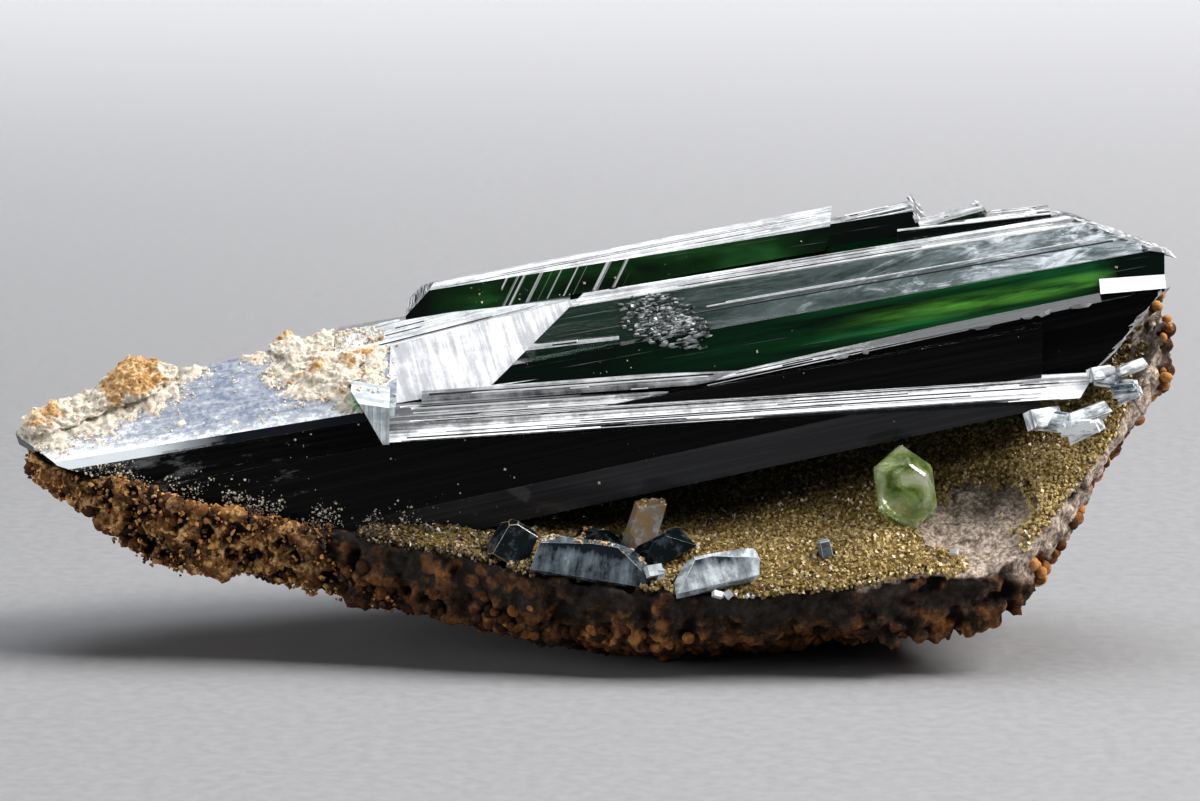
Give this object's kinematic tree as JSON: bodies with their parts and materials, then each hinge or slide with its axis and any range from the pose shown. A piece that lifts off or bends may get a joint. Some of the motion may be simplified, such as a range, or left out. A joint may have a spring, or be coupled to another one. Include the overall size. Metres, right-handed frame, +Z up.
{
  "type": "vivianite specimen",
  "caption": "Dark green vivianite blades lying across a hollow of oolitic ironstone lined with golden druse.",
  "frame": {"origin": "centre of the bounding box's bottom face, on the surface that the specimen rests on", "axes": "+X along the crystal blades towards their higher end, +Y away from the open front of the hollow, +Z up"},
  "size_m": [0.0896, 0.033, 0.0344],
  "materials": {
    "vivianite": "polished",
    "small_vivianite": "gloss",
    "frosted_vivianite": "satin",
    "green_crystal": "gloss",
    "ironstone": "matte",
    "druse": "gloss",
    "ochre": "matte"
  },
  "bodies": {
    "root": {"vivianite_crystal": "vivianite", "ironstone_matrix": "ironstone", "druse_crust": "druse", "green_crystal": "green_crystal", "small_blade_long": "small_vivianite", "small_blade_short": "small_vivianite", "small_prism": "small_vivianite", "small_upright_blade": "small_vivianite", "small_left_prism": "small_vivianite", "small_fragment": "small_vivianite", "tiny_prism": "small_vivianite", "splinter_cluster_lower": "frosted_vivianite", "splinter_cluster_upper": "frosted_vivianite", "ochre_crust_tip": "ochre", "ochre_crust_middle": "ochre"}
  },
  "joints": []
}
